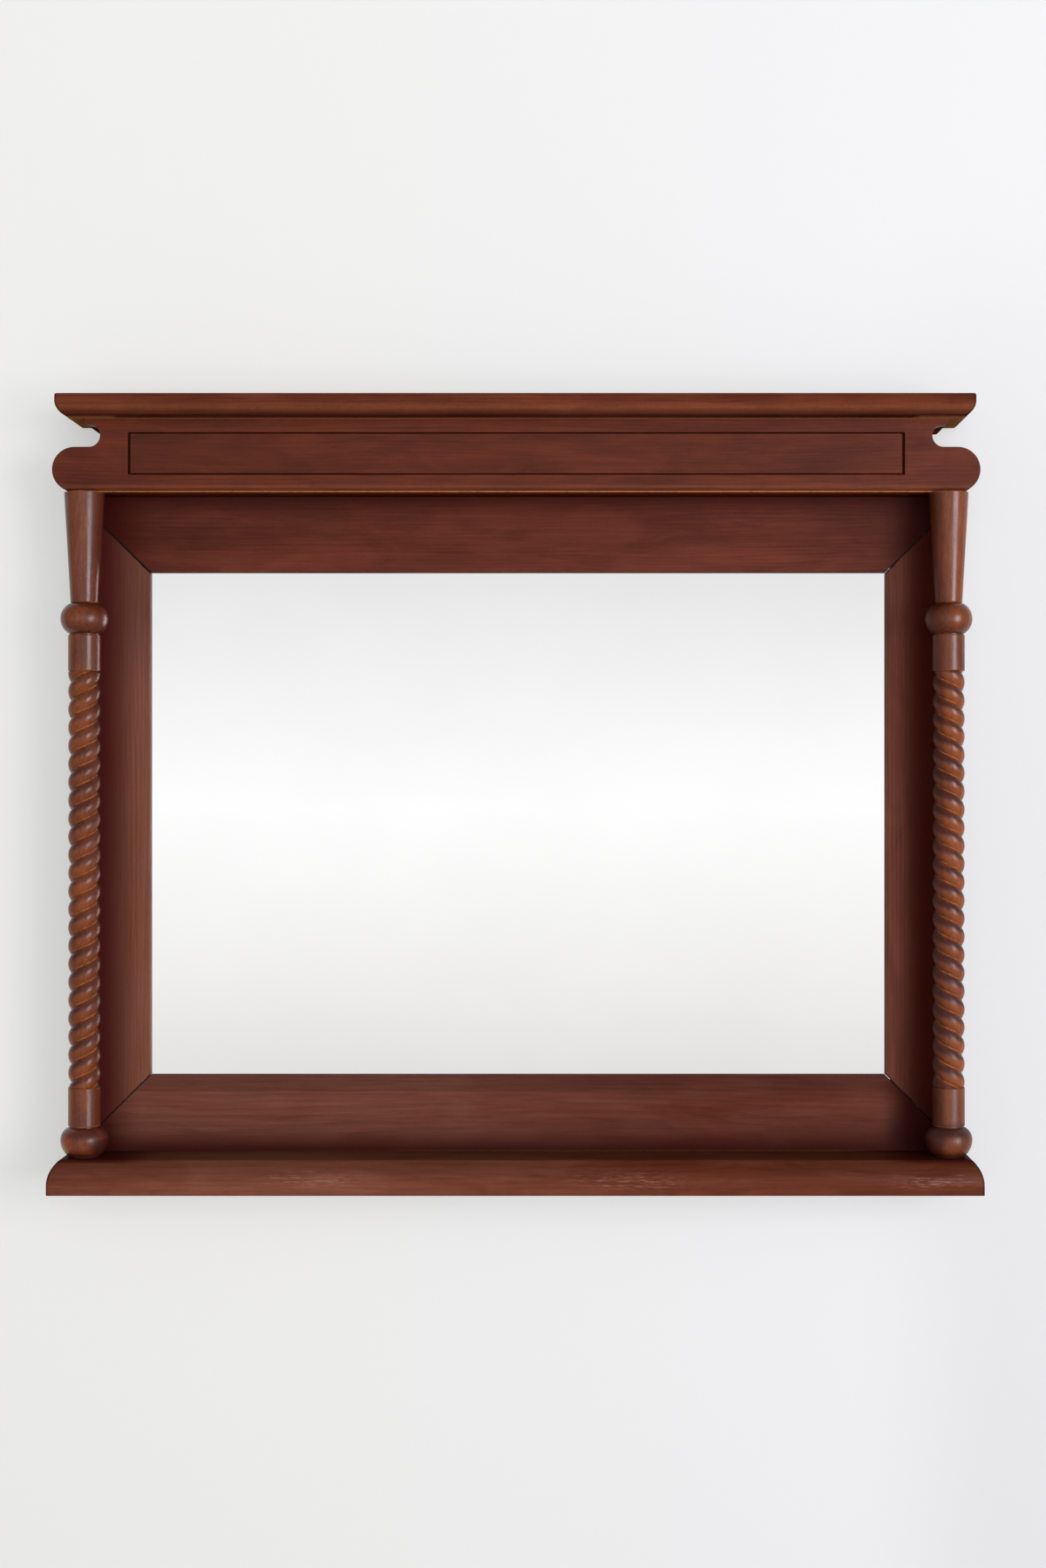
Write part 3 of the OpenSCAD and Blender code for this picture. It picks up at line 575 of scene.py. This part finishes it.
def mirror_silver(name):
    """Silvered glass with the faintest cloudiness in its polish."""
    material, g, shader = new_material(name)
    haze = g.noise(g.point(), (5, 5, 5), 3, 0.6)
    colour = g.mix(g.step(haze, 0.3, 0.7), (0.935, 0.930, 0.935, 1), (0.955, 0.950, 0.955, 1))
    g.put(shader.inputs["Base Color"], colour)
    g.put(shader.inputs["Roughness"], g.step(haze, 0.3, 0.7, 0.004, 0.02))
    shader.inputs["Metallic"].default_value = 1.0
    return material


def zinc(name):
    """Zinc-plated steel, lightly scratched."""
    material, g, shader = new_material(name)
    point = g.point()
    scratch = g.noise(point, (1600, 400, 160), 3, 0.7)
    cloud = g.noise(point, (130, 130, 130), 3, 0.6)
    colour = g.mix(g.step(cloud, 0.3, 0.7), (0.42, 0.43, 0.45, 1), (0.60, 0.61, 0.62, 1))
    g.put(shader.inputs["Base Color"], g.scaled(colour, g.step(scratch, 0.25, 0.75, 0.82, 1.1)))
    g.put(shader.inputs["Roughness"], g.step(scratch, 0.25, 0.75, 0.28, 0.46))
    shader.inputs["Metallic"].default_value = 1.0
    g.surface(shader, scratch, 0.25, 0.1 * MM)
    return material


# ---- Columns ------------------------------------------------------------------------------

SIDES = 72
ROWS_PER_TURN = 30
BALL_ROWS = 9
NECK_ROWS = 12
ARRIS = 0.5 * MM
SHARP_FROM = math.radians(50)

# Tones of the stain, 1 the lightest: plain parts, shafts beside the foot, quirks, and the balls' brightest rows.
# The dark tone of the quirks is painted shade.
MID_STAIN = 0.45
LOW_SHAFT_STAIN = 0.40
QUIRK_SHADE = 0.2
FOOT_STAIN = 0.42
COLLAR_STAIN = (0.10, 0.45)

# Wear of the rope, by vertices away from the bottom of a groove
GROOVE_WEAR = {0: 0.75, 1: 0.45, SIDES // STRANDS - 1: 0.35}

# The rope runs out into the shafts in a cone, this far under the shaft's surface and this steep
RUN_OUT_DEPTH = 1.5 * MM
RUN_OUT_SLOPE = 0.9


def ball_rows(low, middle, high, low_r, high_r):
    """Rows (height, radius) of a turned ball from its lower to its upper edge, BALL_R wide at its middle."""
    rows = []
    for reach, edge_r, way in ((middle - low, low_r, -1), (high - middle, high_r, 1)):
        section = (reach ** 2 + (BALL_R - edge_r) ** 2) / (2 * (BALL_R - edge_r))
        half = [(middle + way * reach * i / BALL_ROWS,
                 BALL_R - section + math.sqrt(section ** 2 - (reach * i / BALL_ROWS) ** 2))
                for i in range(BALL_ROWS + 1)]
        rows += half[::-1] if way < 0 else half[1:]
    return rows


def rope_radius(turn):
    """Radius of the twisted section at a share of a turn, with a groove at 0 and between the strands."""
    half = LEAD / STRANDS / 2
    back = (half ** 2 + GROOVE ** 2) / (2 * GROOVE)
    part = (turn % (1 / STRANDS)) * STRANDS * 2 - 1
    return ROPE_R - back + math.sqrt(back ** 2 - (half * part) ** 2)


def strand_stain_and_shade(turn, hand):
    """Tone across a strand: orange below, nearly black brown in a band over its middle: stain and painted shade."""
    part = (turn % (1 / STRANDS)) * STRANDS
    up = 1 - part if hand > 0 else part
    band = max(0.0, 1 - abs(up - 0.72) / 0.32)
    return 0.85 - 0.85 * math.sin(band * math.pi / 2) ** 1.5 - 0.25 * max(0.0, up - 0.75) * 4


def foot_stain_and_shade(height):
    """Tone of the foot ball, dark at both its ends: painted shade."""
    return FOOT_STAIN * math.sin(math.pi * min(1.0, height / FOOT_H / 0.8)) ** 0.8


def collar_stain_and_shade(height):
    """Tone of the collar, dark at both its ends: painted shade."""
    least, more = COLLAR_STAIN
    return least + more * math.sin(math.pi * (COLLAR_HIGH - height) / COLLAR_H)


def plain_row(height, radius, worn=0.0, stain_and_shade=MID_STAIN):
    return height, [radius] * SIDES, [worn] * SIDES, [stain_and_shade] * SIDES


def quirk_row(height, radius):
    """The bottom of a quirk cut into a part of the radius."""
    return plain_row(height, radius - QUIRK, 0.1, QUIRK_SHADE)


def arris_rows(height, radius, way, worn, stain_and_shade=MID_STAIN):
    """Softened arris of a plain part whose end is at the height; way is 1 where the part lies over it."""
    rows = [plain_row(height, radius - ARRIS, worn, stain_and_shade), plain_row(height + way * ARRIS, radius, worn / 2, stain_and_shade),
            plain_row(height + way * 2.2 * ARRIS, radius, 0.0, stain_and_shade)]
    return rows if way > 0 else rows[::-1]


def rope_rows(hand):
    """Rows of the rope twist, whose dark bands are stain and painted shade. The dark bands of the left rope are
    fainter, and fade further towards its top.
    """
    count = round((ROPE_HIGH - ROPE_LOW) / LEAD * ROWS_PER_TURN)
    radii = [rope_radius(i / SIDES) for i in range(SIDES)]
    worn = [GROOVE_WEAR.get(i % (SIDES // STRANDS), 0.0) for i in range(SIDES)]
    tones = [strand_stain_and_shade(i / SIDES, hand) for i in range(SIDES)]
    rows = []
    for i in range(count + 1):
        height = ROPE_LOW + (ROPE_HIGH - ROPE_LOW) * i / count
        end = min(height - ROPE_LOW, ROPE_HIGH - height)
        most = SHAFT_R - RUN_OUT_DEPTH + RUN_OUT_SLOPE * end
        share = 1.0 if hand < 0 else 0.70 - 0.30 * i / count
        stain_and_shade = [MID_STAIN + (tone - MID_STAIN) * share for tone in tones]
        rows.append((height, [min(r, most) for r in radii], worn, stain_and_shade, (height - ROPE_LOW) / LEAD * hand))
    return rows


def column_rows(hand):
    """All rows of a column, foot up: height, radii, wear, stain and painted shade, and the turn of the twist."""
    lower = [plain_row(z, r, 0.6 * (z == 0), foot_stain_and_shade(z))
             for z, r in ball_rows(0, FOOT_BELLY, FOOT_H, FOOT_BASE_R, SHAFT_R - QUIRK)]
    lower.append(quirk_row(FOOT_H + QUIRK * 0.7, SHAFT_R))
    lower += arris_rows(FOOT_H + QUIRK, SHAFT_R, 1, 0.9, LOW_SHAFT_STAIN)
    lower += arris_rows(ROPE_LOW, SHAFT_R, -1, 0.1, LOW_SHAFT_STAIN)
    rope = rope_rows(hand)
    upper = arris_rows(ROPE_HIGH, SHAFT_R, 1, 0.5) + arris_rows(COLLAR_LOW - QUIRK, SHAFT_R, -1, 0.2)
    upper.append(quirk_row(COLLAR_LOW - QUIRK * 0.7, SHAFT_R))
    collar = ball_rows(COLLAR_LOW, COLLAR_LOW + COLLAR_H / 2, COLLAR_HIGH, SHAFT_R - QUIRK, SHAFT_R - QUIRK)
    upper += [plain_row(z, r, 0.0, collar_stain_and_shade(z)) for z, r in collar]
    upper.append(quirk_row(COLLAR_HIGH + 0.4 * MM, NECK_LOW_R))
    upper += arris_rows(COLLAR_HIGH + QUIRK, NECK_LOW_R, 1, 0.3)
    low, high = COLLAR_HIGH + 2 * QUIRK + ARRIS, COLUMN_H - 3 * ARRIS
    upper += [plain_row(low + (high - low) * i / NECK_ROWS, NECK_LOW_R + (NECK_TOP_R - NECK_LOW_R) * i / NECK_ROWS)
              for i in range(NECK_ROWS + 1)]
    upper += arris_rows(COLUMN_H, NECK_TOP_R, -1, 0.9) + [plain_row(COLUMN_H, SPIGOT_R)]
    return [row + (0.0,) for row in lower] + rope + [row + (rope[-1][4],) for row in upper]


def column(name, side, hand, start_turn):
    """A turned column as one grid of rows, whose vertices follow the twist of the rope."""
    points, wears, stains_and_shades = [], [], []
    rows = column_rows(hand)
    for height, radii, worn, stain_and_shade, turn in rows:
        for i, radius in enumerate(radii):
            angle = 2 * math.pi * (start_turn + turn + i / SIDES)
            points.append((side * COLUMN_X + radius * math.cos(angle), COLUMN_Y + radius * math.sin(angle),
                           SHELF_H + height))
        wears += worn
        stains_and_shades += stain_and_shade
    faces = [(r * SIDES + i, r * SIDES + (i + 1) % SIDES, (r + 1) * SIDES + (i + 1) % SIDES, (r + 1) * SIDES + i)
             for r in range(len(rows) - 1) for i in range(SIDES)]
    faces.append(tuple(range(SIDES - 1, -1, -1)))
    faces.append(tuple((len(rows) - 1) * SIDES + i for i in range(SIDES)))
    mesh = bpy.data.meshes.new(name)
    mesh.from_pydata(points, [], faces)
    mesh.attributes.new("wear", "FLOAT", "POINT").data.foreach_set("value", wears)
    mesh.attributes.new("stain_and_shade", "FLOAT", "POINT").data.foreach_set("value", stains_and_shades)
    mesh.shade_smooth()
    mesh.set_sharp_from_angle(angle=SHARP_FROM)
    piece = bpy.data.objects.new(name, mesh)
    scene.collection.objects.link(piece)
    return piece


# Side, name, hand of the twist, and the degrees at which its first groove starts
for side, label, hand, start in ((-1, "left", 1, 142), (1, "right", -1, 132)):
    piece = column(f"turned_column_{label}", side, hand, start / 360)
    piece.data.materials.append(stained_wood(
        f"turned_mahogany_{label}", "z", 2 + side, TURNED_LIGHT, TURNED_DARK, roughness=column_roughness,
        specular=0.38, ring=0.0036, pith=(side * COLUMN_X + 0.05, COLUMN_Y + 0.05), spread=0.4, patches=0.7,
        shade_by=attribute_shade, level=column_level, recess=column_recess, wax_and_shade=COLUMN_RECESS, wear=attribute_wear))
    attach(piece, "root")
    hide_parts(f"column_{label}")


# ---- Materials of the CAD nodes -----------------------------------------------------------

def dress(material, *names):
    for name in names:
        for i in range(len(nodes[name].material_slots)):
            nodes[name].material_slots[i].material = material


dress(stained_wood("mahogany_shelf", "x", 1, SHELF_LIGHT, SHELF_DARK, specular=0.06, pith=(0.0, 0.06), spread=0.5,
                   shade_by=shelf_shade, level=shelf_level, recess=shelf_recess, flecks=shelf_flecks), "shelf")
MEMBERS = {
    "bottom_rail": dict(grain="x", seed=2, light=BOTTOM_LIGHT, dark=BOTTOM_DARK, specular=0.08, spread=0.4,
                        shade_by=bottom_shade, level=bottom_level, wear=rail_wear,
                        recess=frame_recess((0.436, 0.474), (0.450, 0.514))),
    "top_rail": dict(grain="x", seed=3, light=TOP_LIGHT, dark=TOP_DARK, specular=0.08, level=top_level,
                     recess=frame_recess((0.425, 0.495))),
    "left_stile": dict(grain="z", seed=4, light=LEFT_LIGHT, dark=LEFT_DARK, specular=0.11, shade_by=left_shade,
                       level=left_level, recess=frame_recess((0.450, 0.502)), wax_and_shade=LEFT_RECESS),
    "right_stile": dict(grain="z", seed=5, light=RIGHT_LIGHT, dark=RIGHT_DARK, specular=0.07, level=right_level,
                        recess=frame_recess((0.450, 0.492)), wax_and_shade=RIGHT_RECESS),
}
for name, looks in MEMBERS.items():
    dress(stained_wood(f"mahogany_{name}", seams=mitre_seams, **looks), f"frame_{name}")
dress(stained_wood("mahogany_frieze", "x", 6, specular=0.13, level=frieze_level, wear=frieze_wear_and_highlight), "frieze_board")
dress(stained_wood("mahogany_panel", "x", 7, specular=0.13, level=panel_level), "frieze_panel")
dress(stained_wood("mahogany_blocks", "x", 8, MATT_LIGHT, MATT_DARK, specular=0.0, recess=block_recess),
      "header_block_left", "header_block_right")
dress(stained_wood("mahogany_soffit", "x", 9, DEEP_LIGHT, DEEP_DARK, specular=0.0), "soffit_board")
dress(stained_wood("mahogany_cornice", "x", 10, MATT_LIGHT, MATT_DARK, specular=0.0, level=cornice_level,
                   wear=cornice_painted_light), "cornice")
dress(pine("pine_rail", "x", 1), "header_back_rail")
dress(pine("pine_blocks", "x", 2), "glue_blocks", "mirror_blocks", "mitre_splines")
dress(pine("pine_dowels", "z", 3), "cornice_dowels")
dress(fibre_board("hardboard_back"), "back_board")
dress(mirror_silver("silvered_glass"), "mirror_glass")
dress(zinc("zinc_plated"), "back_board_screws", "header_screws", "shelf_screws", "hanger_plate_left",
      "hanger_plate_right", "hanger_screws")

# Arrises softened by wear
SOFT_ARRIS = {"shelf": 0.9, "cornice": 2.6, "frieze_board": 0.9, "header_block_left": 0.9,
              "header_block_right": 0.9, "frieze_panel": 0.9}
WELD_WITHIN = 0.02 * MM
FLAT_WITHIN = math.radians(1)
BEVEL_FROM = math.radians(35)
for name, width in SOFT_ARRIS.items():
    weld = nodes[name].modifiers.new("weld", "WELD")
    weld.merge_threshold = WELD_WITHIN
    flat = nodes[name].modifiers.new("whole_faces", "DECIMATE")
    flat.decimate_type = "DISSOLVE"
    flat.angle_limit = FLAT_WITHIN
    bevel = nodes[name].modifiers.new("softened_arris", "BEVEL")
    bevel.width = width * MM
    bevel.use_clamp_overlap = False
    bevel.segments = 3
    bevel.limit_method = "ANGLE"
    bevel.angle_limit = BEVEL_FROM
    bevel.harden_normals = True


# ---- Wall and floor -----------------------------------------------------------------------

WALL_Y = cad_box[1].y + 1 * MM
WALL_TOP = 4
FLOOR_Z = -0.62
STUDIO = 6
WALL_GLOW = 0.46
WALL_WHITE = 0.30
FLOOR_WHITE = 0.80


def sheet(name, corners):
    mesh = bpy.data.meshes.new(name)
    mesh.from_pydata(corners, [], [(0, 1, 2, 3)])
    piece = bpy.data.objects.new(name, mesh)
    scene.collection.objects.link(piece)
    return piece


def open_wall(g, x, z):
    """One where the wall shows round the mirror's outline, none behind the mirror itself."""
    high = cad_box[1]
    beside = g.step(g.math("ABSOLUTE", x), high.x - 45 * MM, high.x - 35 * MM)
    notch = g.math("MULTIPLY", g.step(z, 0.83, 0.85),
                   g.step(g.math("ABSOLUTE", x), high.x - 110 * MM, high.x - 100 * MM))
    beside = g.math("MAXIMUM", beside, notch)
    over = g.step(z, high.z - 40 * MM, high.z - 30 * MM)
    under = g.step(z, SHELF_H - 20 * MM, SHELF_H - 10 * MM, 1.0, 0.0)
    return g.math("MAXIMUM", beside, g.math("MAXIMUM", over, under))


def plaster(name, white, one_sided=False):
    """Smooth painted plaster. The one-sided wall glows round the mirror, less at the right of it, and isn't there
    when seen from behind."""
    material, g, shader = new_material(name)
    point, x, _, z = g.place()
    cloud = g.noise(point, (1.1, 1.1, 1.1), 2)
    tint = g.mix(g.step(x, -0.6, 0.6), (1.0, 1.0, 0.975, 1), (0.985, 0.990, 1.0, 1))
    g.put(shader.inputs["Base Color"], g.scaled(tint, g.step(cloud, 0.3, 0.7, white * 0.985, white)))
    shader.inputs["Roughness"].default_value = 0.9
    shader.inputs["Specular IOR Level"].default_value = 0.1
    if one_sided:
        glow = open_wall(g, x, z)
        edge = cad_box[1].x
        right = g.math("MULTIPLY", g.step(x, edge - 150 * MM, edge + 50 * MM), g.step(z, 0.8, 1.3, 1.0, 0.0))
        g.put(shader.inputs["Emission Color"], tint)
        g.put(shader.inputs["Emission Strength"],
              g.math("MULTIPLY", glow, g.math("MULTIPLY_ADD", right, -0.07, WALL_GLOW)))
        clear = g.add("ShaderNodeBsdfTransparent")
        facing = g.add("ShaderNodeNewGeometry").outputs["Backfacing"]
        either = g.add("ShaderNodeMixShader", {0: facing, 1: shader.outputs[0], 2: clear.outputs[0]})
        g.put(g.tree.nodes["Material Output"].inputs["Surface"], either.outputs[0])
    return material


wall = sheet("wall", [(-STUDIO, WALL_Y, FLOOR_Z), (STUDIO, WALL_Y, FLOOR_Z), (STUDIO, WALL_Y, WALL_TOP),
                      (-STUDIO, WALL_Y, WALL_TOP)])
wall.data.materials.append(plaster("wall_plaster", WALL_WHITE, one_sided=True))
wall.visible_diffuse = wall.visible_glossy = wall.visible_transmission = wall.visible_shadow = False
floor = sheet("floor", [(-STUDIO, -STUDIO, FLOOR_Z), (STUDIO, -STUDIO, FLOOR_Z), (STUDIO, STUDIO, FLOOR_Z),
                        (-STUDIO, STUDIO, FLOOR_Z)])
floor.data.materials.append(plaster("floor_plaster", FLOOR_WHITE))
floor.visible_glossy = False


# ---- The room: what lights the mirror, what it reflects and what the camera sees -----------

HORIZON = -0.0113
BRIGHT_TURN = math.radians(-12)
ROOM_TURN = math.radians(22)
MIRRORED_MOST, MIRRORED_LEAST = 1.07, 0.62
ROOM_LIGHT, ROOM_LEAST = 2.3, 0.30
BACKDROP = 0.82

world = bpy.data.worlds.new("studio")
scene.world = world
world.use_nodes = True
sky = Graph(world.node_tree)
world.node_tree.nodes.clear()
direction = sky.add("ShaderNodeTexCoord").outputs["Generated"]
across, behind, rise = sky.add("ShaderNodeSeparateXYZ", {0: direction}).outputs
front = sky.math("MULTIPLY", behind, -1.0)


def towards(turn):
    """How far a direction points into the room, the angle being from straight out of the wall towards +X."""
    return sky.math("ADD", sky.math("MULTIPLY", across, math.sin(turn)),
                    sky.math("MULTIPLY", front, math.cos(turn)))


from_horizon = sky.math("ABSOLUTE", sky.math("SUBTRACT", rise, HORIZON))
fall = sky.math("MULTIPLY", from_horizon, sky.math("MULTIPLY_ADD", from_horizon, 5.7, 1.44))
mirrored = sky.math("MAXIMUM", sky.math("SUBTRACT", MIRRORED_MOST, fall), MIRRORED_LEAST)
bright = towards(BRIGHT_TURN)
mirrored = sky.math("MULTIPLY", mirrored, sky.step(bright, 0.78, 0.93, 0.50, 1.0))
mirrored = sky.math("MAXIMUM", mirrored, sky.step(front, -0.2, 0.0, 0.85, 0.0))
facing = towards(ROOM_TURN)
room = sky.math("MULTIPLY", sky.step(facing, 0.45, 0.98, 0.0, ROOM_LIGHT),
                sky.step(from_horizon, 0.10, 0.75, 1.0, 0.3))
lighting = sky.math("ADD", sky.math("ADD", room, ROOM_LEAST), sky.step(front, -0.3, 0.0, 0.65, 0.0))
ray = sky.add("ShaderNodeLightPath").outputs
level = sky.math("MULTIPLY_ADD", ray["Is Glossy Ray"], sky.math("SUBTRACT", mirrored, lighting), lighting)
level = sky.math("MULTIPLY_ADD", ray["Is Camera Ray"], sky.math("SUBTRACT", BACKDROP, level), level)
tint = sky.mix(sky.step(rise, -0.5, 0.5), (1.0, 0.985, 0.96, 1), (0.97, 0.985, 1.0, 1))
background = sky.add("ShaderNodeBackground", {0: tint, 1: level})
sky.put(sky.add("ShaderNodeOutputWorld").inputs[0], background.outputs[0])


# ---- Window and camera --------------------------------------------------------------------

WINDOW_PLACE = (2.84, -3.38, 0.46)
WINDOW_TARGET = (0, 0, 0.46)
WINDOW_SIZE = (1.8, 2.4)
WINDOW_POWER = 133
WINDOW_COLOUR = (0.98, 0.94, 1.0)
CAMERA_PLACE = (0.0908, -2.6075, 0.4826)
LENS = 50.03
SENSOR = 36
SHIFT_X = -0.0445

window_light = bpy.data.lights.new("window", "AREA")
window_light.shape = "RECTANGLE"
window_light.size, window_light.size_y = WINDOW_SIZE
window_light.energy = WINDOW_POWER
window_light.color = WINDOW_COLOUR
window = bpy.data.objects.new("window", window_light)
window.location = WINDOW_PLACE
window.rotation_euler = (Vector(WINDOW_TARGET) - Vector(WINDOW_PLACE)).to_track_quat("-Z", "Y").to_euler()
scene.collection.objects.link(window)

camera_data = bpy.data.cameras.new("camera")
camera_data.sensor_width = SENSOR
camera_data.lens = LENS
camera_data.shift_x = SHIFT_X
camera = bpy.data.objects.new("camera", camera_data)
camera.location = CAMERA_PLACE
camera.rotation_euler = (math.radians(90), 0, 0)
scene.collection.objects.link(camera)
scene.camera = camera
scene.view_settings.view_transform = "Standard"
